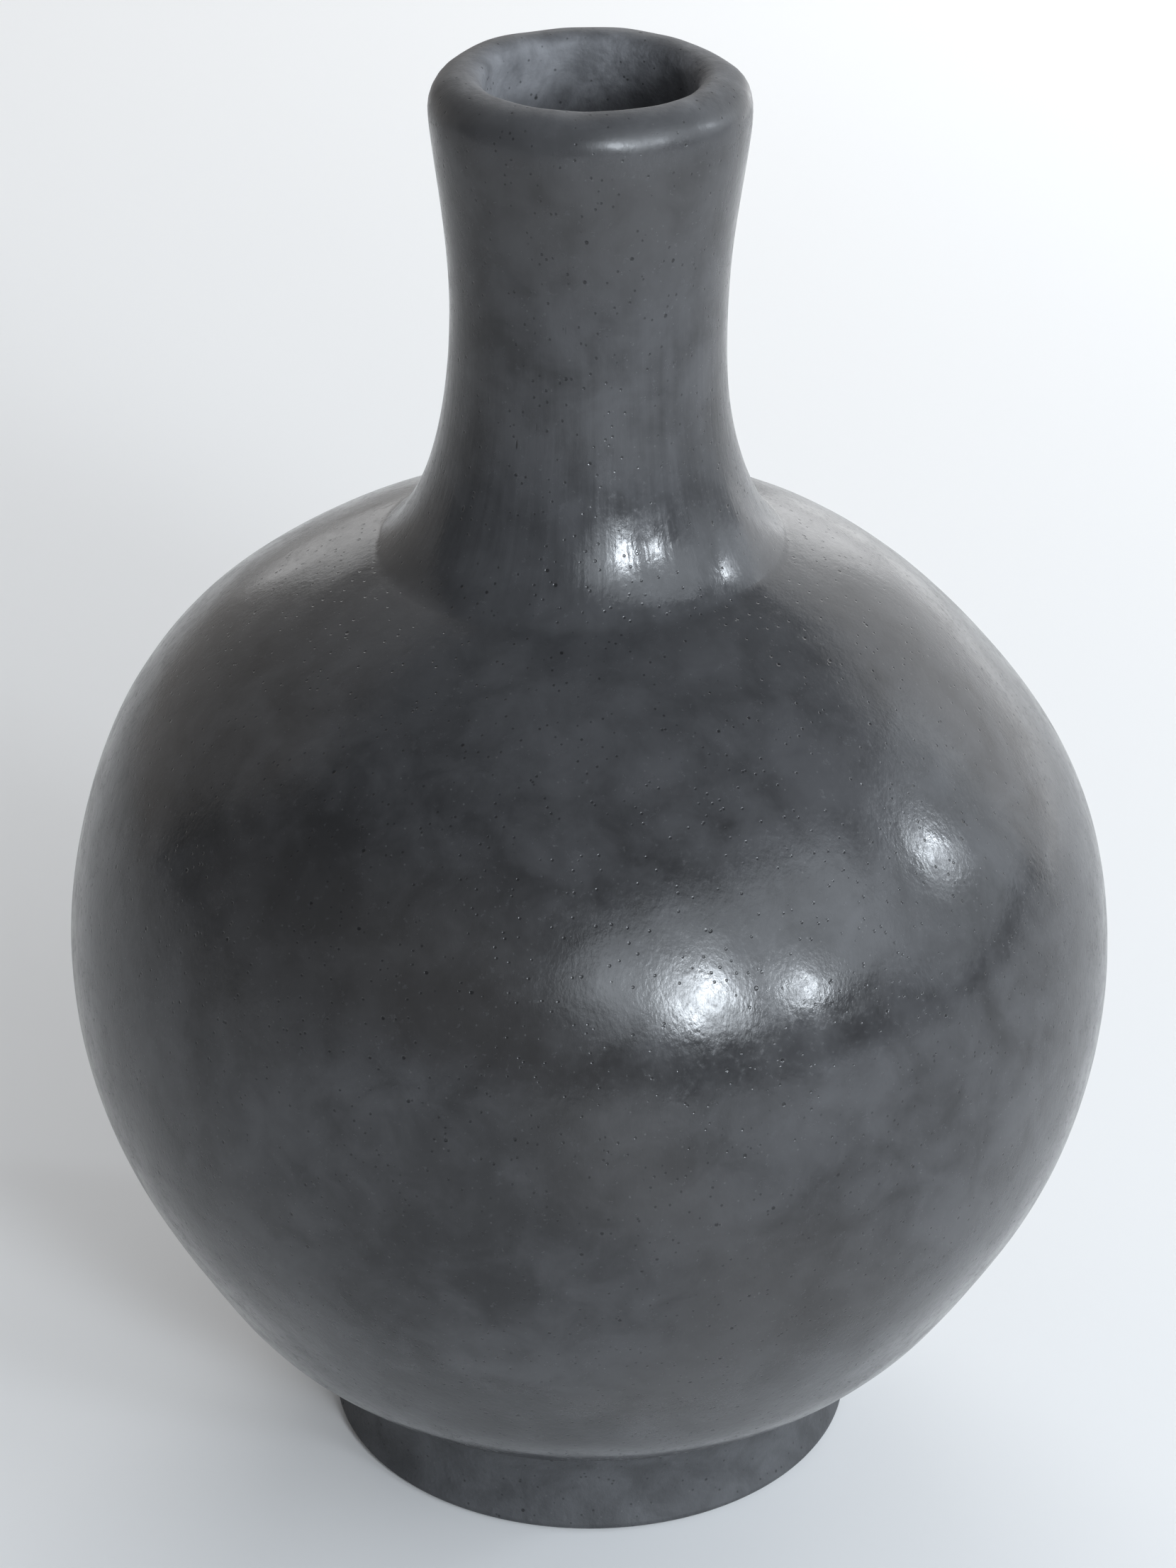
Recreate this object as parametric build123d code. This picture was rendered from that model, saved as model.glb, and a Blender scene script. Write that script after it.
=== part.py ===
from build123d import *
import os
from math import cos, radians, sin

# A hand-built bottle of black clay: a round body on a ring foot, with a slim neck and a
# thick rolled lip. Millimetres, +Z up. The origin is the centre of the foot's lower face.
# Every piece is a ring or disc about the Z axis: its half section is drawn flat, with X as the
# radius and Y as the height, then stood up and revolved.

# Heights above the floor
recess_depth = 7.0  # hollow under the base, inside the foot ring
belly_height = 75.0  # the widest circle, where the two body walls are joined

# Heights above the crease, where the root coil meets the shoulder
collar_height = 15.0  # joint between the root coil and the neck
waist_height = 31.1  # the neck at its slimmest
neck_length = 65.1  # up to the crest of the lip
rim_height = 13.0  # the rolled lip, measured down from its crest

# Radii
foot_radius = 36.8
belly_radius = 71.0
crease_radius = 27.0
mouth_radius = 13.5  # the straight bore of the neck

# Clay thicknesses
foot_wall = 8.0
floor_thickness = 7.0
body_wall = 5.0
neck_wall = 4.3  # at the waist
lip_wall = 6.9
pat_lap = 1.2  # how far the base disc reaches out over the foot ring

# Rounded edges
mouth_round = 2.3  # from the bore up to the crest of the lip
throat_round = 4.0  # from the bore out to the cavity
foot_edge_round = 1.0

# Shape of the curves
bowl_flat = 6.0  # how far below the base the bowl's curve would close
bowl_fullness = 0.535  # 0.552 is a true ellipse, more is squarer
dome_rise = 64.2  # belly circle up to the pole of the shoulder's curve
dome_fullness = 0.577
foot_waist = 1.4  # how far the foot's wall draws in between floor and body
foot_flare = 0.3  # how far it opens again where it meets the body
root_slope = 42.0  # degrees, the root coil's slope at the crease
root_reach = 7.4  # length of the root's curve before it turns up
root_climb = 16.0  # length of its upright run below the waist
flare_start = 13.5  # upright run above the waist
flare_end = 6.0  # upright run below the lip


def quarter_curve(radius, start_height, end_height, fullness):
    """A full round quarter, from the widest circle to the pole on the axis."""
    rise = end_height - start_height
    return Bezier(
        (radius, start_height),
        (radius, start_height + fullness * rise),
        (fullness * radius, end_height),
        (0, end_height),
    )


def height_at(curve, radius):
    """The height at which a quarter curve passes a radius."""
    outside, inside = 0.0, 1.0
    for _ in range(50):
        middle = (outside + inside) / 2
        if (curve @ middle).X > radius:
            outside = middle
        else:
            inside = middle
    return (curve @ outside).Y


def region(*edges):
    """The face inside a closed chain of edges."""
    return make_face(Curve() + list(edges))


def outline(*points):
    """The straight edges that join points in order."""
    return [Line(start, end) for start, end in zip(points, points[1:])]


def block(inner, outer, bottom, top):
    """A rectangle of the half section."""
    corners = [(inner, bottom), (outer, bottom), (outer, top), (inner, top)]
    return region(*outline(*corners, corners[0]))


def quarter_region(curve, height):
    """The area between a quarter curve, the axis and the belly circle's plane."""
    return region(curve, *outline(curve @ 1, (0, height), curve @ 0))


# The four quarter curves that the body walls follow
bowl_pole = recess_depth - bowl_flat
dome_pole = belly_height + dome_rise
bowl_curve = quarter_curve(belly_radius, belly_height, bowl_pole, bowl_fullness)
dome_curve = quarter_curve(belly_radius, belly_height, dome_pole, dome_fullness)
cavity_radius = belly_radius - body_wall
cavity_bowl = quarter_curve(cavity_radius, belly_height, bowl_pole + body_wall, bowl_fullness)
cavity_dome = quarter_curve(cavity_radius, belly_height, dome_pole - body_wall, dome_fullness)
floor_height = recess_depth + floor_thickness
crease_height = height_at(dome_curve, crease_radius)
pot_height = crease_height + neck_length
waist_radius = mouth_radius + neck_wall
lip_radius = mouth_radius + lip_wall
crest_radius = mouth_radius + mouth_round
lip_round = lip_radius - crest_radius
foot_inner_radius = foot_radius - foot_wall
pat_radius = foot_inner_radius + pat_lap


def neck_region():
    """The neck as if solid: root coil, waist, flare and rolled lip."""
    slope = radians(root_slope)
    crease = Vector(crease_radius, crease_height)
    waist = Vector(waist_radius, crease_height + waist_height)
    lip = Vector(lip_radius, pot_height - lip_round)
    crest = Vector(crest_radius, pot_height)
    root_start = crease + root_reach * Vector(-cos(slope), sin(slope))
    root = Bezier(crease, root_start, waist - Vector(0, root_climb), waist)
    flare = Bezier(waist, waist + Vector(0, flare_start), lip - Vector(0, flare_end), lip)
    roll = RadiusArc(lip, crest, -lip_round)
    inside = outline(crest, (0, pot_height), (0, crease_height), crease)
    return region(root, flare, roll, *inside)


def body_region():
    """The whole outer form without the foot, as if solid."""
    bowl = quarter_region(bowl_curve, belly_height)
    bowl -= block(0, belly_radius, bowl_pole - 1, recess_depth)
    return bowl + quarter_region(dome_curve, belly_height) + neck_region()


def hollow_region():
    """The cavity, the throat and the bore up through the mouth."""
    bowl = quarter_region(cavity_bowl, belly_height)
    bowl -= block(0, cavity_radius, bowl_pole, floor_height)
    bore = block(0, mouth_radius, belly_height, pot_height - mouth_round)
    hollow = bowl + quarter_region(cavity_dome, belly_height) + bore
    throat = hollow.vertices().filter_by(lambda v: abs(v.X - mouth_radius) < 0.01)
    hollow = fillet(throat.sort_by(Axis.Y)[0], throat_round)
    return hollow + mouth_region()


def mouth_region():
    """The rounded way in over the crest of the lip."""
    edge_height = pot_height - mouth_round
    edge = (mouth_radius, edge_height)
    crest = (crest_radius, pot_height)
    roll = RadiusArc(edge, crest, mouth_round)
    return region(roll, *outline(crest, (0, pot_height), (0, edge_height), edge))


def foot_region(body):
    """The ring foot, fitted to the underside of the bowl."""
    joint_radius = foot_radius + foot_flare
    joint_height = height_at(bowl_curve, joint_radius)
    wall = Bezier(
        (foot_radius, 0),
        (foot_radius - foot_waist, joint_height / 3),
        (foot_radius - foot_waist, joint_height * 2 / 3),
        (joint_radius, joint_height),
    )
    inside = outline(
        (joint_radius, joint_height),
        (foot_inner_radius, joint_height),
        (foot_inner_radius, 0),
        (foot_radius, 0),
    )
    ring = region(wall, *inside)
    ring = fillet(ring.vertices().group_by(Axis.Y)[0], foot_edge_round)
    return ring - body


def write(name, section):
    """Stand a half section up, revolve it and save the piece."""
    export_step(revolve(Plane.XZ * section, Axis.Z), f"parts/{name}.step")


os.makedirs("parts", exist_ok=True)
body = body_region()
clay = body - hollow_region()
pat = block(0, pat_radius, bowl_pole, floor_height + 1)
collar_top = crease_height + collar_height
rim_bottom = pot_height - rim_height

write("foot_ring", foot_region(body))
write("base_disc", clay & pat)
write("lower_body", (clay & block(0, belly_radius, 0, belly_height)) - pat)
write("upper_body", clay & block(0, belly_radius, belly_height, crease_height))
write("neck_collar", clay & block(0, belly_radius, crease_height, collar_top))
write("neck", clay & block(0, belly_radius, collar_top, rim_bottom))
write("rim_coil", clay & block(0, belly_radius, rim_bottom, pot_height))
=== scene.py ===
import itertools
from math import cos, pi, radians, sin

import bmesh
import bpy
import numpy as np
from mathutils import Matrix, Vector


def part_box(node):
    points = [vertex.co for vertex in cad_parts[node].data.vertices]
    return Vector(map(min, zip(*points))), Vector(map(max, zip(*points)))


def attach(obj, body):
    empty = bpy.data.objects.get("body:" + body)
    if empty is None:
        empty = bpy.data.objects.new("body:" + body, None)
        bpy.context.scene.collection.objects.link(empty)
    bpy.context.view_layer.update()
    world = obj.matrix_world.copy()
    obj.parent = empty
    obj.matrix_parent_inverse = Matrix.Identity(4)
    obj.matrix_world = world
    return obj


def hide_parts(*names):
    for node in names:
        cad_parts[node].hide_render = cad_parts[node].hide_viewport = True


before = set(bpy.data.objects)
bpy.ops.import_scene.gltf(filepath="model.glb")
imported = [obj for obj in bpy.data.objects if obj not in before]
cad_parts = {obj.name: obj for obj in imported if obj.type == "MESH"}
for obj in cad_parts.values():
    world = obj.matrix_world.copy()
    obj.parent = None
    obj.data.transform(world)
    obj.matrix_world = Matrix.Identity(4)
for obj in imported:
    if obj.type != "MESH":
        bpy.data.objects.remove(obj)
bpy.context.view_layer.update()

MM = 0.001
SEGMENTS = 480  # points round each ring

# Distances between the rings of points
OUTER_SPACING = 0.85 * MM
INNER_SPACING = 2.2 * MM
LIP_SPACING = 0.6 * MM
FOOT_SPACING = 0.5 * MM
UNDERSIDE_SPACING = 1.0 * MM
JOINT_SPACING = 1.6 * MM
PAT_SPACING = 2.0 * MM

TABLE_STEP = 0.05 * MM  # spacing of the dense lines that the surfaces are read from
CORNER_REACH = 0.5 * MM  # how far a corner of the section is softened, each way

# Places and sizes, from the frame
foot_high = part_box("foot_ring")[1]
disc_low, disc_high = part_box("base_disc")
bowl_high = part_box("lower_body")[1]
crease_low, crease_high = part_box("neck_collar")
neck_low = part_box("neck")[0]
rim_low, rim_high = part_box("rim_coil")

belly_radius = bowl_high.x
belly_height = bowl_high.z
crease_radius = crease_high.x
crease_height = crease_low.z
collar_top = neck_low.z
rim_bottom = rim_low.z
pot_height = rim_high.z
lip_radius = rim_high.x
base_height = disc_low.z
pat_radius = disc_high.x
foot_joint_radius = foot_high.x
foot_joint_height = foot_high.z

# Sizes that the boxes don't show, as in the CAD source
foot_radius = 36.8 * MM
foot_wall = 8.0 * MM
foot_waist = 1.4 * MM  # how far the foot's wall draws in
floor_thickness = 7.0 * MM
body_wall = 5.0 * MM
mouth_radius = 13.5 * MM
mouth_round = 2.3 * MM
throat_round = 4.0 * MM
waist_radius = 17.8 * MM
waist_height = crease_height + 31.1 * MM
bowl_pole = base_height - 6.0 * MM
dome_pole = belly_height + 64.2 * MM
bowl_fullness = 0.535
dome_fullness = 0.577
root_slope = radians(42.0)
root_reach = 7.4 * MM
root_climb = 16.0 * MM  # the root's upright run below the waist
flare_start = 13.5 * MM  # upright run above the waist
flare_end = 6.0 * MM  # upright run below the lip

# Sizes that follow from those
floor_height = base_height + floor_thickness
foot_inner_radius = foot_radius - foot_wall
crest_radius = mouth_radius + mouth_round
lip_round = lip_radius - crest_radius
lip_height = pot_height - lip_round


# Lines of the half section: arrays of radius and height

def cubic(start, first, second, end, count=1500):
    """Points along a cubic curve."""
    t = np.linspace(0, 1, count)[:, None]
    start, first, second, end = (np.array(p, float) for p in (start, first, second, end))
    near = (1 - t) ** 3 * start + 3 * (1 - t) ** 2 * t * first
    return near + 3 * (1 - t) * t * t * second + t ** 3 * end


def quarter(radius, start_height, end_height, fullness):
    """A quarter curve from the widest circle to the pole on the axis."""
    rise = end_height - start_height
    return cubic(
        (radius, start_height),
        (radius, start_height + fullness * rise),
        (fullness * radius, end_height),
        (0, end_height),
    )


def arc(centre, radius, start, end, count=160):
    """Points along a circular arc, with angles in degrees from the outward direction."""
    angle = np.radians(np.linspace(start, end, count))
    return np.array(centre) + radius * np.stack([np.cos(angle), np.sin(angle)], axis=-1)


def evenly(line, step):
    """The same line with points at about equal distances."""
    length = np.concatenate([[0], np.cumsum(np.hypot(*np.diff(line, axis=0).T))])
    places = np.linspace(0, length[-1], max(2, round(length[-1] / step) + 1))
    return np.stack([np.interp(places, length, line[:, i]) for i in (0, 1)], axis=-1)


def softened(line, reach):
    """The line with its corners rounded over a short reach."""
    size = max(1, round(reach / TABLE_STEP))
    kernel = np.hanning(2 * size + 1)
    kernel /= kernel.sum()
    padded = np.pad(line, ((size, size), (0, 0)), mode="reflect", reflect_type="odd")
    columns = [np.convolve(padded[:, i], kernel, "valid") for i in (0, 1)]
    return np.stack(columns, axis=-1)


class Line:
    """A dense line of the half section that can be read at any distance along it."""

    def __init__(self, *curves, soften=0.0):
        points = evenly(np.concatenate(curves), TABLE_STEP)
        if soften:
            points = softened(points, soften)
        self.points = points
        self.length = np.concatenate([[0], np.cumsum(np.hypot(*np.diff(points, axis=0).T))])
        along = np.gradient(points, axis=0)
        along /= np.linalg.norm(along, axis=1)[:, None]
        self.normals = np.stack([along[:, 1], -along[:, 0]], axis=-1)

    def read(self, places):
        """Radius, height and the two parts of the normal at distances along the line."""
        columns = [self.points[:, 0], self.points[:, 1], self.normals[:, 0], self.normals[:, 1]]
        return [np.interp(places, self.length, column) for column in columns]

    def at_height(self, height):
        """The distance along the line at which it first passes a height."""
        side = np.sign(self.points[:, 1] - height)
        crossing = np.nonzero(side[:-1] * side[1:] <= 0)[0][0]
        low, high = self.points[crossing, 1], self.points[crossing + 1, 1]
        share = 0.0 if high == low else (height - low) / (high - low)
        return self.length[crossing] + share * (self.length[crossing + 1] - self.length[crossing])

    def at_radius(self, radius):
        """The distance along the line at which it first passes a radius."""
        crossing = np.nonzero(np.diff(np.sign(self.points[:, 0] - radius)))[0][0]
        return self.length[crossing]


def outer_line():
    """The outer skin, from under the foot ring up to the crest of the lip."""
    bowl = quarter(belly_radius, belly_height, bowl_pole, bowl_fullness)[::-1]
    bowl = bowl[bowl[:, 1] > base_height]
    dome = quarter(belly_radius, belly_height, dome_pole, dome_fullness)
    dome = dome[dome[:, 0] > crease_radius]
    crease = np.array([crease_radius, crease_height])
    root = cubic(
        crease,
        crease + root_reach * np.array([-cos(root_slope), sin(root_slope)]),
        (waist_radius, waist_height - root_climb),
        (waist_radius, waist_height),
    )
    flare = cubic(
        (waist_radius, waist_height),
        (waist_radius, waist_height + flare_start),
        (lip_radius, lip_height - flare_end),
        (lip_radius, lip_height),
    )
    roll = arc((crest_radius, lip_height), lip_round, 0, 90)
    return Line(bowl, dome[1:], root, flare[1:], roll[1:], soften=CORNER_REACH)


def inner_line():
    """The inner skin, from the crest of the lip down to the edge of the base disc."""
    roll = arc((crest_radius, pot_height - mouth_round), mouth_round, 90, 180)
    cavity_radius = belly_radius - body_wall
    dome = quarter(cavity_radius, belly_height, dome_pole - body_wall, dome_fullness)[::-1]
    dome = dome[dome[:, 0] > mouth_radius + throat_round]
    throat_height = dome[0, 1] + throat_round
    throat = arc((mouth_radius + throat_round, throat_height), throat_round, 180, 270)
    bowl = quarter(cavity_radius, belly_height, bowl_pole + body_wall, bowl_fullness)
    bowl = bowl[bowl[:, 0] > pat_radius]
    return Line(roll, throat, dome, bowl[1:], soften=CORNER_REACH)


def foot_line():
    """The ring foot's outer wall, from its flat lower face up to the corner under the body."""
    edge_round = 1.2 * MM
    wall_lean = -8  # degrees, where the rounded edge gives way to the wall
    waist = foot_radius - foot_waist
    edge = arc((foot_radius - edge_round, edge_round), edge_round, -90, wall_lean)
    wall = cubic(
        edge[-1],
        (waist, foot_joint_height / 3),
        (waist, foot_joint_height * 2 / 3),
        (foot_joint_radius, foot_joint_height),
    )
    return Line(edge, wall[1:])


def recess_line(top):
    """The wall of the hollow inside the ring foot, down to its rounded lower edge."""
    edge_round = 1 * MM
    wall = np.array([(foot_inner_radius, top), (foot_inner_radius, edge_round)])
    edge = arc((foot_inner_radius + edge_round, edge_round), edge_round, 180, 270)
    return Line(wall, edge[1:])


# The unevenness of a hand-built and hand-rubbed pot

noise_draw = np.random.default_rng(11)
noise_order = noise_draw.permutation(256)
noise_slopes = noise_draw.normal(size=(256, 3))
noise_slopes /= np.linalg.norm(noise_slopes, axis=1)[:, None]


def noise(points, size, offset):
    """Smooth noise from about -1 to 1, with features of a given size in metres."""
    places = points / size + offset
    cells = np.floor(places).astype(int)
    parts = places - cells
    fade = parts ** 3 * (parts * (parts * 6 - 15) + 10)
    total = 0.0
    for corner in itertools.product((0, 1), repeat=3):
        x, y, z = (cells[..., i] + corner[i] for i in range(3))
        slope = noise_slopes[noise_order[(noise_order[(noise_order[x & 255] + y) & 255] + z) & 255]]
        weight = np.prod(np.where(corner, fade, 1 - fade), axis=-1)
        total = total + weight * (slope * (parts - np.array(corner))).sum(axis=-1)
    return 1.5 * total


def bump(height, centre, width):
    """One where height is at the centre, falling smoothly to nothing."""
    return np.exp(-(((height - centre) / width) ** 2))


def ramp(value, start, end):
    """Zero up to start, one past end, smooth between."""
    share = np.clip((value - start) / (end - start), 0, 1)
    return share * share * (3 - 2 * share)


def sideways(height):
    """How far the rings of clay sit off the axis: the shoulder leans left, the bowl right."""
    shoulder = -2.3 * MM * bump(height, centre=118 * MM, width=17 * MM)
    root = -0.45 * MM * bump(height, centre=150 * MM, width=16 * MM)
    lip = 0.15 * MM * bump(height, centre=190 * MM, width=14 * MM)
    bowl = 0.95 * MM * bump(height, centre=38 * MM, width=22 * MM)
    return shoulder + root + lip + bowl


def fullness(height):
    """How far the bowl stands out from the drawn curve, all the way round."""
    flattened = -0.45 * MM * bump(height, centre=38 * MM, width=12 * MM)
    swelling = 0.65 * MM * bump(height, centre=24 * MM, width=7 * MM)
    return flattened + swelling


def rubbed_facet(height, angle):
    """The flatter patch that the rubbing stone left on the lip, at the front on the right."""
    depth = 0.30 * MM
    middle = 0.36  # radians from the front
    spread = 0.045
    around = np.exp((np.cos(angle - middle) - 1) / spread)
    return depth * around * bump(height, centre=pot_height - 3.2 * MM, width=2.6 * MM)


def settle(height):
    """No unevenness on the face that the pot stands on."""
    return ramp(height, 0.5 * MM, 6 * MM)


def near_lip(height):
    """Nothing on the neck, one at the lip."""
    return ramp(height, pot_height - 12 * MM, pot_height - 2 * MM)


def lumps(ideal, height, inside):
    """How far the lumps, strokes and chips stand out. Their depths are in millimetres."""
    lip = near_lip(height)
    neck = ramp(height, crease_height - 4 * MM, crease_height + 16 * MM)
    strokes = ideal * np.array([1.0, 1.0, 0.45]) * (1 - 0.3 * neck)[..., None]
    broad = (0.30 - 0.12 * neck) * noise(ideal, size=46 * MM, offset=3.3)
    pressed = (0.10 + 0.06 * inside) * noise(ideal, size=17 * MM, offset=8.1)
    rubbed = 0.030 * noise(strokes, size=6.5 * MM, offset=21.7)
    scraped = inside * 0.16 * noise(ideal, size=7 * MM, offset=40.3)
    pinched = lip * 0.14 * noise(ideal, size=6 * MM, offset=14.9)
    chipped = lip * inside * 0.30 * noise(ideal, size=3.4 * MM, offset=5.5)
    return MM * (broad + pressed + rubbed + scraped + pinched + chipped)


def out_of_round(radius, height, angle):
    """How far each ring is squeezed into an oval, less so close to the axis."""
    squeeze = 0.22 * MM * np.cos(2 * angle + 1.9)
    return squeeze * settle(height) * np.minimum(1, radius / waist_radius)


def crest_waves(angle):
    """How far the crest of the lip rises and dips on its way round."""
    tilt = 0.30 * MM * np.sin(angle + 2.2)
    sag = 0.16 * MM * np.sin(2 * angle + 0.6)
    finger_marks = 0.10 * MM * np.sin(5 * angle)
    return tilt + sag + finger_marks


def shaped(radius, height, angle, out, up, inside=0.0):
    """Where a point of the half section lies on the real, uneven surface."""
    ideal = np.stack([radius * np.sin(angle), -radius * np.cos(angle), height + 0 * angle], axis=-1)
    waves = lumps(ideal, height, inside) * settle(height)
    waves += (fullness(height) - rubbed_facet(height, angle)) * (1 - inside)
    reach = radius + out * waves + out_of_round(radius, height, angle)
    x = reach * np.sin(angle) + sideways(height)
    z = height + up * waves + near_lip(height) * crest_waves(angle)
    return np.stack([x, -reach * np.cos(angle), z], axis=-1)


def surface(line, places, inside=0.0):
    """Points and true normals of a skin, one ring for each distance along its line."""
    angles = np.linspace(0, 2 * pi, SEGMENTS, endpoint=False) + pi  # the seam lies at the back
    small_step = 0.15 * MM
    small_turn = 0.004

    def at(shift, turn):
        radius, height, out, up = (v[:, None] for v in line.read(places + shift))
        return shaped(radius, height, angles[None, :] + turn, out, up, inside)

    points = at(0, 0)
    along = at(small_step, 0) - at(-small_step, 0)
    around = at(0, small_turn) - at(0, -small_turn)
    normals = np.cross(around, along)
    normals /= np.linalg.norm(normals, axis=-1)[..., None]
    return points, normals


# Meshes

DRY = 1.0  # how matte a surface is that was never rubbed


def steps(start, end, spacing):
    """Distances from start to end, both included."""
    return np.linspace(start, end, max(2, round(abs(end - start) / spacing) + 1))


def between(start, end, spacing):
    """Rings across a flat joint, without the two that it joins."""
    width = float(np.linalg.norm(end - start, axis=-1).mean())
    count = max(1, round(width / spacing))
    return [start + (end - start) * i / count for i in range(1, count)]


def ring_faces(count):
    """The four-sided faces between rings of points, the last ring joined to the first."""
    column = np.arange(SEGMENTS)
    after = (column + 1) % SEGMENTS
    faces = []
    for ring in range(count):
        start = ring * SEGMENTS
        above = (ring + 1) % count * SEGMENTS
        corners = [start + column, start + after, above + after, above + column]
        faces.append(np.stack(corners, axis=-1))
    return np.concatenate(faces)


def ring_mesh(name, bands):
    """A closed ring of clay. Each band is its rings of points, their normals or None, and how matte."""
    points, normals, mattes, known = [], [], [], []
    for rings, ring_normals, matte in bands:
        has_normals = ring_normals is not None
        points.extend(rings)
        normals.extend(ring_normals if has_normals else np.zeros((len(rings), SEGMENTS, 3)))
        mattes.append(np.repeat(np.broadcast_to(matte, len(rings)), SEGMENTS))
        known.extend([has_normals] * len(rings))
    mesh = bpy.data.meshes.new(name)
    mesh.from_pydata(np.concatenate(points).tolist(), [], ring_faces(len(points)).tolist())
    smooth = np.repeat(np.array(known) & np.roll(known, -1), SEGMENTS)
    mesh.polygons.foreach_set("use_smooth", smooth)
    layer = mesh.attributes.new("matte", "FLOAT", "POINT")
    layer.data.foreach_set("value", np.concatenate(mattes).astype(np.float32))
    set_normals(mesh, np.concatenate(normals), smooth)
    piece = bpy.data.objects.new(name, mesh)
    bpy.context.collection.objects.link(piece)
    return piece


def set_normals(mesh, normals, smooth):
    """Give the skins their true normals, so that no joint shows where two pieces meet."""
    corners = np.empty(len(mesh.loops), dtype=np.int32)
    mesh.loops.foreach_get("vertex_index", corners)
    chosen = normals[corners]
    chosen[~np.repeat(smooth, 4)] = 0
    mesh.normals_split_custom_set(chosen.tolist())


outer = outer_line()
inner = inner_line()
foot = foot_line()


def outer_band(start, end):
    """A stretch of the outer skin, upwards. It gets more matte over the crest of the lip."""
    places = steps(start, end, OUTER_SPACING)
    points, normals = surface(outer, places)
    return points, normals, 0.5 * ramp(places, outer.length[-1] - 5 * MM, outer.length[-1])


def inner_band(start, end, spacing=INNER_SPACING):
    """A stretch of the inner skin, downwards. It is left unpolished below the crest."""
    places = steps(start, end, spacing)
    points, normals = surface(inner, places, ramp(places, 1 * MM, 6 * MM)[:, None])
    return points, normals, 0.5 + 0.5 * ramp(places, 0, 2.5 * MM)


def wall_piece(name, outer_ends, inner_ends):
    """A ring of the wall between two joints: outer skin, upper joint, inner skin, lower joint."""
    outside = outer_band(*outer_ends)
    inside = inner_band(*inner_ends)
    upper = between(outside[0][-1], inside[0][0], JOINT_SPACING)
    lower = between(inside[0][-1], outside[0][0], JOINT_SPACING)
    return ring_mesh(name, [outside, (upper, None, DRY), inside, (lower, None, DRY)])


def lip_piece(name):
    """The rolled lip, whose skin runs over the crest and down into the mouth."""
    past_crest = 0.4 * MM
    outside = outer_band(outer.at_height(rim_bottom), outer.length[-1])
    inside = inner_band(past_crest, inner.at_height(rim_bottom), LIP_SPACING)
    lower = between(inside[0][-1], outside[0][0], JOINT_SPACING)
    return ring_mesh(name, [outside, inside, (lower, None, DRY)])


def foot_piece(name):
    """The ring foot, with its top fitted to the underside of the bowl."""
    wall, wall_normals = surface(foot, steps(0, foot.length[-1], FOOT_SPACING))
    seat_start = outer.at_height(foot_joint_height)
    seat_end = outer.at_radius(foot_inner_radius)
    seat = surface(outer, steps(seat_start, seat_end, JOINT_SPACING))[0]
    recess = recess_line(seat[-1, 0, 2])
    below_seat = 0.1 * MM
    inside, inside_normals = surface(recess, steps(below_seat, recess.length[-1], UNDERSIDE_SPACING))
    rest = between(inside[-1], wall[0], JOINT_SPACING)
    bands = [
        (wall, wall_normals, DRY),
        (seat[1:], None, DRY),
        (inside, inside_normals, DRY),
        (rest, None, DRY),
    ]
    return ring_mesh(name, bands)


def disc_piece(name):
    """The flat pat that closes the bottom, as rings about two centre points."""
    under, under_normals = surface(outer, steps(0, outer.at_radius(pat_radius), UNDERSIDE_SPACING))
    top_edge = surface(inner, np.array([inner.length[-1]]), 1.0)[0][0]
    bottom_centre = np.broadcast_to(np.array([0, 0, base_height]), top_edge.shape)
    top_centre = np.broadcast_to(np.array([0, 0, floor_height]), top_edge.shape)
    core = 0.5 * MM
    inner_low = bottom_centre + (under[0] - bottom_centre) * core / pat_radius
    inner_top = top_centre + (top_edge - top_centre) * core / pat_radius
    bands = [
        ([inner_low], None, DRY),
        (between(inner_low, under[0], PAT_SPACING), None, DRY),
        (under, under_normals, DRY),
        (between(under[-1], top_edge, JOINT_SPACING), None, DRY),
        ([top_edge], None, DRY),
        (between(top_edge, inner_top, PAT_SPACING), None, DRY),
        ([inner_top], None, DRY),
    ]
    return close_core(ring_mesh(name, bands))


def close_core(piece):
    """Replace the thin tube through the disc's middle by two caps."""
    mesh = bmesh.new()
    mesh.from_mesh(piece.data)
    mesh.faces.ensure_lookup_table()
    tube = mesh.faces[-SEGMENTS:]
    bmesh.ops.delete(mesh, geom=tube, context="FACES_ONLY")
    edges = [e for e in mesh.edges if e.is_boundary]
    bmesh.ops.holes_fill(mesh, edges=edges)
    mesh.to_mesh(piece.data)
    mesh.free()
    return piece


# Materials

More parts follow.
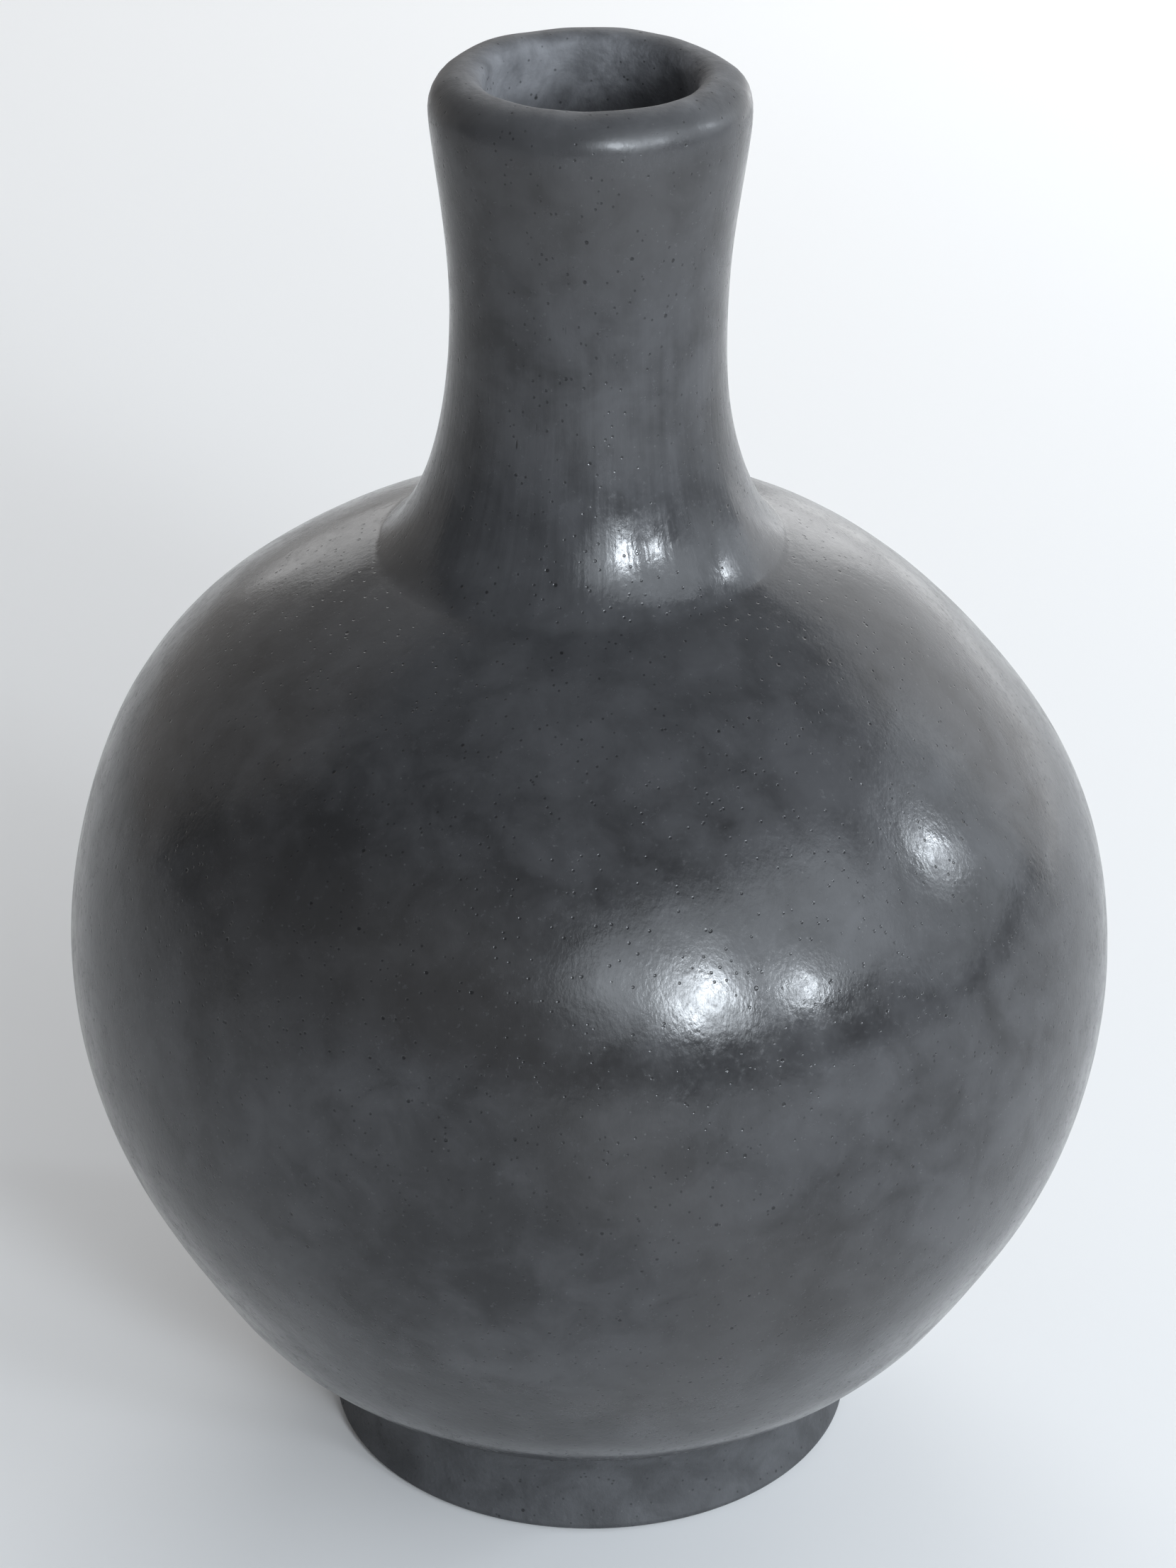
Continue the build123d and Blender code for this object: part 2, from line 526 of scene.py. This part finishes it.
class Nodes:
    """A short way to build a material's node tree."""

    def __init__(self, name):
        self.material = bpy.data.materials.new(name)
        self.material.use_nodes = True
        self.tree = self.material.node_tree
        self.shader = self.tree.nodes["Principled BSDF"]

    def add(self, kind, inputs=(), **settings):
        """A node with its settings, and inputs given as values or as other nodes' sockets."""
        node = self.tree.nodes.new(kind)
        for key, value in settings.items():
            setattr(node, key, value)
        for key, value in dict(inputs).items():
            self.feed(node.inputs[key], value)
        return node

    def feed(self, socket, value):
        """Link another node's socket, or set a value."""
        if isinstance(value, bpy.types.NodeSocket):
            self.tree.links.new(value, socket)
        else:
            socket.default_value = value

    def math(self, operation, first, second):
        """One operation on two numbers."""
        node = self.add("ShaderNodeMath", {0: first, 1: second}, operation=operation)
        return node.outputs[0]

    def times(self, first, *others):
        """The product of numbers."""
        for other in others:
            first = self.math("MULTIPLY", first, other)
        return first

    def plus(self, first, *others):
        """The total of numbers."""
        for other in others:
            first = self.math("ADD", first, other)
        return first

    def moved(self, where, shift):
        """Coordinates moved by a vector."""
        return self.add("ShaderNodeVectorMath", {0: where, 1: shift}, operation="ADD").outputs[0]

    def stretched(self, where, factors):
        """Coordinates scaled along each axis. A factor under 1 draws the pattern out."""
        return self.add("ShaderNodeVectorMath", {0: where, 1: factors}, operation="MULTIPLY").outputs[0]

    def noise(self, where, size, detail=2.0, roughness=0.5, distortion=0.0):
        """Noise from 0 to 1 with features of a given size, in the units of where."""
        inputs = {"Vector": where, "Scale": 1 / size, "Detail": detail}
        inputs.update({"Roughness": roughness, "Distortion": distortion})
        return self.add("ShaderNodeTexNoise", inputs).outputs["Fac"]

    def spots(self, where, spacing, radius, soft):
        """One at the middle of scattered spots and zero between them."""
        cells = self.add("ShaderNodeTexVoronoi", {"Vector": where, "Scale": 1 / spacing, "Randomness": 1.0})
        return self.remap(cells.outputs["Distance"], (radius + soft) / spacing, radius / spacing)

    def remap(self, value, low, high, new_low=0.0, new_high=1.0):
        """A number carried smoothly from one range to another, and held at the ends."""
        inputs = {"Value": value, "From Min": low, "From Max": high, "To Min": new_low, "To Max": new_high}
        return self.add("ShaderNodeMapRange", inputs, interpolation_type="SMOOTHSTEP").outputs[0]

    def mix(self, share, first, second, kind="RGBA"):
        """A colour, or with kind FLOAT a number, between two others."""
        inputs = {"Factor": share, "A": first, "B": second}
        return self.add("ShaderNodeMix", data_type=kind, inputs=inputs).outputs["Result"]


SMOKE_BLACK = (0.0200, 0.0200, 0.0212, 1)
ASH_GREY = (0.0600, 0.0605, 0.0640, 1)
WARM_GREY = (0.0440, 0.0415, 0.0400, 1)
DRY_GREY = (0.0780, 0.0800, 0.0850, 1)
DRY_DARK = (0.0450, 0.0460, 0.0490, 1)
# Dry clay in the mouth, made paler by painted light.
MOUTH_LIT_DARK = (0.085, 0.086, 0.092, 1)
MOUTH_LIT_GREY = (0.200, 0.203, 0.214, 1)
MICA = (0.20, 0.20, 0.20, 1)
PIT_BLACK = (0.008, 0.008, 0.009, 1)
PAPER_DARK = (0.86, 0.86, 0.86, 1)
PAPER_LIGHT = (0.88, 0.88, 0.88, 1)

# How strongly each mark shows in the colour
CLOUD_SHARE = 0.90
BLOTCH_SHARE = 0.80
DRAG_SHARE = 0.40
WIPE_SHARE = 0.50
WARM_SHARE = 0.5
LIP_SHARE = 0.5
# The pale band about the crease is part dust, part painted light from above.
DUST_AND_LIGHT_SHARE = 0.30
GRAIN_SHARE = 0.35
MICA_SHARE = 0.19
HOLLOW_SHARE = 0.8

# Roughness of the rubbed skin, what is added to it in places, and that of dry clay
GLOSS = 0.14
DULL_GLOSS = 0.25
LIP_ROUGHNESS = 0.14
CREST_ROUGHNESS = 0.25
GRAIN_ROUGHNESS = 0.10
STREAK_ROUGHNESS = (-0.02, 0.06)
DRY_ROUGHNESS = 0.72

REFLECTION = 0.42  # the clay mirrors a little less than the shader's usual 0.5

# Depths of the fine relief, in millimetres
FINE_DEPTH = 0.022
DIMPLE_DEPTH = 0.032
COMBED_DEPTH = 0.035
COARSE_DEPTH = 0.22
HOLLOW_DEPTH = 0.05

# Widths of marks that run up and down, as a share of the pot's radius where they lie
STREAK_WIDTH = 0.075
COMB_WIDTH = 0.045
UPRIGHT_RISE = 3.2  # what a metre of height counts for, in the same units


class Clay:
    """What the colour, the gloss and the relief share: where a point lies, and the clay's marks."""

    def __init__(self, n):
        self.place = n.add("ShaderNodeTexCoord").outputs["Object"]
        self.upright, self.across, self.height = upright_coordinates(n, self.place)
        self.matte = n.add("ShaderNodeAttribute", attribute_name="matte").outputs["Fac"]
        self.neck = n.remap(self.height, crease_height - 4 * MM, crease_height + 8 * MM)
        below_waist = n.remap(self.height, crease_height + 50 * MM, crease_height + 18 * MM)
        self.root = n.times(self.neck, below_waist)
        self.lip = n.remap(self.height, pot_height - 8.5 * MM, pot_height - 1.5 * MM)
        # Painted light in the mouth: one near the top, nothing deeper inside.
        self.mouth = n.remap(self.height, pot_height - 70 * MM, pot_height - 14 * MM)
        self.blotches = n.noise(self.place, 7.5 * MM, detail=4.0, roughness=0.6, distortion=0.4)
        self.grain = n.noise(self.place, 0.8 * MM, detail=3.0, roughness=0.6)
        self.streaks = n.noise(self.upright, STREAK_WIDTH, detail=3.0, roughness=0.65)
        self.hollows = clay_hollows(n, self.place, self.root)


def upright_coordinates(n, place):
    """Coordinates that change little with height, for marks that run up and down the pot. Also the
    place from side to side, and the height."""
    parts = n.add("ShaderNodeSeparateXYZ", {0: place})
    across, back, height = parts.outputs
    flat = n.add("ShaderNodeCombineXYZ", {0: across, 1: back}).outputs[0]
    around = n.add("ShaderNodeVectorMath", {0: flat}, operation="NORMALIZE").outputs[0]
    rise = n.add("ShaderNodeCombineXYZ", {2: n.times(height, UPRIGHT_RISE)}).outputs[0]
    return n.moved(around, rise), across, height


def clay_hollows(n, place, root):
    """Small pits, a few larger holes, and short upright dashes on the neck's root."""
    pits = n.spots(n.moved(place, (0.31, 0.17, 0.05)), 1.45 * MM, radius=0.10 * MM, soft=0.14 * MM)
    holes = n.spots(n.moved(place, (0.11, 0.47, 0.25)), 4.2 * MM, radius=0.16 * MM, soft=0.18 * MM)
    drawn = n.stretched(n.moved(place, (0.61, 0.29, 0.15)), (1, 1, 0.2))
    dashes = n.spots(drawn, 2.6 * MM, radius=0.08 * MM, soft=0.12 * MM)
    pits_and_holes = n.math("MAXIMUM", n.times(pits, 0.75), holes)
    return n.math("MAXIMUM", pits_and_holes, n.times(dashes, root))


def ash_and_shade_share(n, clay):
    """How ashy the rubbed skin is: smoke clouds, blotches, and marks dragged down the neck, with painted
    shade on the left side and painted light on the right.
    """
    streak_mean = 0.53
    drawn_mean = 0.52
    clouds = n.noise(clay.place, 34 * MM, detail=3.0, roughness=0.55, distortion=0.5)
    drawn = n.noise(n.stretched(clay.place, (1, 1, 0.35)), 5.5 * MM, detail=3.0, roughness=0.55)
    dragged = n.times(n.math("SUBTRACT", clay.streaks, streak_mean), DRAG_SHARE, clay.root)
    wiped = n.times(n.math("SUBTRACT", drawn, drawn_mean), WIPE_SHARE, clay.neck)
    # Painted shade and light: darker on the left, away from the lamps, and paler on the right, towards
    # them.
    painted_side_shading = n.remap(clay.across, -65 * MM, 55 * MM, -0.07, 0.06)
    clouded = n.plus(n.times(clouds, CLOUD_SHARE), n.times(clay.blotches, BLOTCH_SHARE))
    return n.remap(n.plus(clouded, dragged, wiped, painted_side_shading), 0.55, 1.14)


def rubbed_colour(n, clay):
    """The burnished skin, warmer in places, ashier at the lip, and paler about the crease with dust and
    painted light from above.
    """
    colour = n.mix(ash_and_shade_share(n, clay), SMOKE_BLACK, ASH_GREY)
    warmth = n.remap(n.noise(clay.place, 55 * MM, detail=1.0), 0.52, 0.72, new_high=WARM_SHARE)
    colour = n.mix(warmth, colour, WARM_GREY)
    colour = n.mix(n.times(clay.lip, LIP_SHARE), colour, ASH_GREY)
    # Paler band about the crease: partly dust, partly painted light from above.
    rising = n.remap(clay.height, crease_height - 16 * MM, crease_height + 2 * MM)
    falling = n.remap(clay.height, crease_height + 26 * MM, crease_height + 8 * MM)
    return n.mix(n.times(rising, falling, DUST_AND_LIGHT_SHARE), colour, DRY_GREY)


def dry_colour(n, clay):
    """Unpolished clay, painted paler in the mouth with painted light that falls in over the lip and fades
    to plain dry clay deeper in.
    """
    blotched = n.remap(clay.blotches, 0.3, 0.7)
    dry = n.mix(blotched, DRY_DARK, DRY_GREY)
    # Painted light: the mouth's dry clay is paler than the same clay elsewhere.
    pale = n.mix(blotched, MOUTH_LIT_DARK, MOUTH_LIT_GREY)
    return n.mix(clay.mouth, dry, pale)


def clay_colour(n, clay):
    """Rubbed or dry clay, with its pale grains, specks of mica and dark hollows."""
    colour = n.mix(clay.matte, rubbed_colour(n, clay), dry_colour(n, clay))
    colour = n.mix(n.remap(clay.grain, 0.60, 0.80, new_high=GRAIN_SHARE), colour, DRY_GREY)
    mica = n.spots(clay.place, 1.9 * MM, radius=0.06 * MM, soft=0.13 * MM)
    colour = n.mix(n.times(mica, MICA_SHARE), colour, MICA)
    return n.mix(n.times(clay.hollows, HOLLOW_SHARE), colour, PIT_BLACK)


def clay_roughness(n, clay):
    """A soft gloss that fades towards the lip, and dull dry clay."""
    patches = n.noise(clay.place, 5 * MM, detail=4.0, roughness=0.62)
    rubbed = n.plus(
        n.remap(patches, 0.30, 0.72, GLOSS, DULL_GLOSS),
        n.times(n.remap(clay.streaks, 0.35, 0.75, *STREAK_ROUGHNESS), clay.root),
        n.times(clay.lip, LIP_ROUGHNESS),
        n.remap(clay.height, pot_height - 3 * MM, pot_height, new_high=CREST_ROUGHNESS),
        n.remap(clay.grain, 0.45, 0.80, new_high=GRAIN_ROUGHNESS),
    )
    return n.mix(clay.matte, rubbed, DRY_ROUGHNESS, kind="FLOAT")


def clay_relief(n, clay):
    """The fine relief: polishing marks, dimples, a combed root, coarse dry clay and hollows."""
    fine = n.noise(n.stretched(clay.place, (1, 1, 0.5)), 0.5 * MM, detail=3.0, roughness=0.6)
    dimples = n.noise(clay.place, 2.4 * MM)
    combed = n.noise(clay.upright, COMB_WIDTH)
    coarse = n.noise(clay.place, 1.4 * MM, detail=3.0, roughness=0.6)
    raised = n.plus(
        n.times(fine, FINE_DEPTH),
        n.times(dimples, DIMPLE_DEPTH),
        n.times(combed, COMBED_DEPTH, clay.root),
        n.times(coarse, clay.matte, COARSE_DEPTH),
    )
    relief = n.math("SUBTRACT", raised, n.times(clay.hollows, HOLLOW_DEPTH))
    return n.add("ShaderNodeBump", {"Height": relief, "Distance": MM, "Strength": 1.0}).outputs[0]


def clay_material(name):
    """Smoke-blackened clay: rubbed to a soft gloss outside, dry and matte where unpolished."""
    n = Nodes(name)
    clay = Clay(n)
    n.feed(n.shader.inputs["Base Color"], clay_colour(n, clay))
    n.feed(n.shader.inputs["Roughness"], clay_roughness(n, clay))
    n.feed(n.shader.inputs["Normal"], clay_relief(n, clay))
    n.shader.inputs["Specular IOR Level"].default_value = REFLECTION
    return n.material


def floor_material():
    """Plain pale paper."""
    n = Nodes("pale_floor")
    where = n.add("ShaderNodeTexCoord").outputs["Object"]
    tone = n.mix(n.noise(where, 0.4), PAPER_DARK, PAPER_LIGHT)
    n.feed(n.shader.inputs["Base Color"], tone)
    n.shader.inputs["Roughness"].default_value = 0.85
    return n.material


# The scene around the pot

def make_floor():
    """A wide pale sheet under the pot."""
    half = 6.0  # metres
    mesh = bpy.data.meshes.new("floor")
    corners = [(-half, -half, 0), (half, -half, 0), (half, half, 0), (-half, half, 0)]
    mesh.from_pydata(corners, [], [(0, 1, 2, 3)])
    floor = bpy.data.objects.new("floor", mesh)
    floor.data.materials.append(floor_material())
    bpy.context.collection.objects.link(floor)


def make_card(name, azimuth, elevation, width, height, strength, colour, distance=1.6):
    """A soft rectangular light that faces the pot's middle, placed and sized in degrees as the
    pot sees it. Azimuth 0 is in front and 90 on the right."""
    turn, rise = radians(azimuth), radians(elevation)
    middle = Vector((0, 0, 0.55 * pot_height))
    way = Vector((sin(turn) * cos(rise), -cos(turn) * cos(rise), sin(rise)))
    light = bpy.data.lights.new(name, "AREA")
    light.shape = "RECTANGLE"
    light.size = 2 * distance * np.tan(radians(width / 2))
    light.size_y = 2 * distance * np.tan(radians(height / 2))
    light.energy = strength * light.size * light.size_y
    light.color = colour
    lamp = bpy.data.objects.new(name, light)
    lamp.location = middle + distance * way
    lamp.rotation_euler = (-way).to_track_quat("-Z", "Y").to_euler()
    lamp.visible_camera = False
    bpy.context.collection.objects.link(lamp)


def make_lights():
    """A bright window in front on the right with its soft glow, a narrow one on the right, and
    pale walls and a ceiling behind the pot."""
    sky = (0.86, 0.93, 1.0)
    plain = (0.98, 0.99, 1.0)
    warm = (1.0, 0.95, 0.90)
    make_card("window_glow", 40, 28, 64, 27, 9, sky, distance=1.0)
    make_card("window_reveal", 6, 24, 16, 11, 8, sky)
    make_card("window_pane_a", 27, 19.5, 10, 9, 165, sky)
    make_card("window_pane_b", 49, 17, 8, 4.5, 170, sky)
    make_card("side_window", 96, 21, 2.5, 6, 230, sky)
    make_card("right_glow", 98, 16, 46, 28, 5, sky)
    make_card("right_wall", 144, 12, 52, 52, 4.2, plain, distance=0.8)
    make_card("back_wall", 180, 14, 50, 22, 4, plain)
    make_card("back_ceiling", 180, 38, 30, 16, 14, plain)
    make_card("back_left_wall", -141, 25, 72, 60, 1.1, warm)


def make_world():
    """Dim, even room light."""
    world = bpy.data.worlds.new("room")
    world.use_nodes = True
    background = world.node_tree.nodes["Background"]
    background.inputs["Color"].default_value = (0.95, 0.97, 1.0, 1)
    background.inputs["Strength"].default_value = 0.145
    bpy.context.scene.world = world
    bpy.context.scene.view_settings.view_transform = "Standard"


def make_camera():
    """A long lens looking down on the pot from the front."""
    distance = 2.744 * pot_height
    rise = 1.988 * pot_height
    look_down = radians(28.61)
    data = bpy.data.cameras.new("camera")
    data.sensor_width = 36
    data.lens = 105.8
    data.shift_x = -0.0011
    data.clip_end = 30
    camera = bpy.data.objects.new("camera", data)
    camera.location = (0, -distance, rise)
    camera.rotation_euler = (pi / 2 - look_down, 0, 0)
    bpy.context.collection.objects.link(camera)
    bpy.context.scene.camera = camera


def place(piece, node, material_slot, material):
    """Let a piece stand for its CAD node."""
    piece.data.materials.append(material)
    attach(piece, "root")
    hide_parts(node)


def make_pot():
    """All seven pieces of clay."""
    burnished = clay_material("burnished_clay")
    matte = clay_material("matte_clay")
    bottom = (outer.at_radius(pat_radius), inner.length[-1])
    joint_heights = (belly_height, crease_height, collar_top, rim_bottom)
    belly, crease, collar, rim = ((outer.at_height(h), inner.at_height(h)) for h in joint_heights)
    walls = [
        ("bowl_wall", "lower_body", bottom, belly),
        ("shoulder_wall", "upper_body", belly, crease),
        ("root_coil", "neck_collar", crease, collar),
        ("neck_wall", "neck", collar, rim),
    ]
    for name, node, low, high in walls:
        piece = wall_piece(name, (low[0], high[0]), (high[1], low[1]))
        place(piece, node, "burnished_clay", burnished)
    place(lip_piece("rolled_lip"), "rim_coil", "burnished_clay", burnished)
    place(foot_piece("foot"), "foot_ring", "matte_clay", matte)
    place(disc_piece("base_pat"), "base_disc", "matte_clay", matte)


make_pot()
make_floor()
make_lights()
make_world()
make_camera()
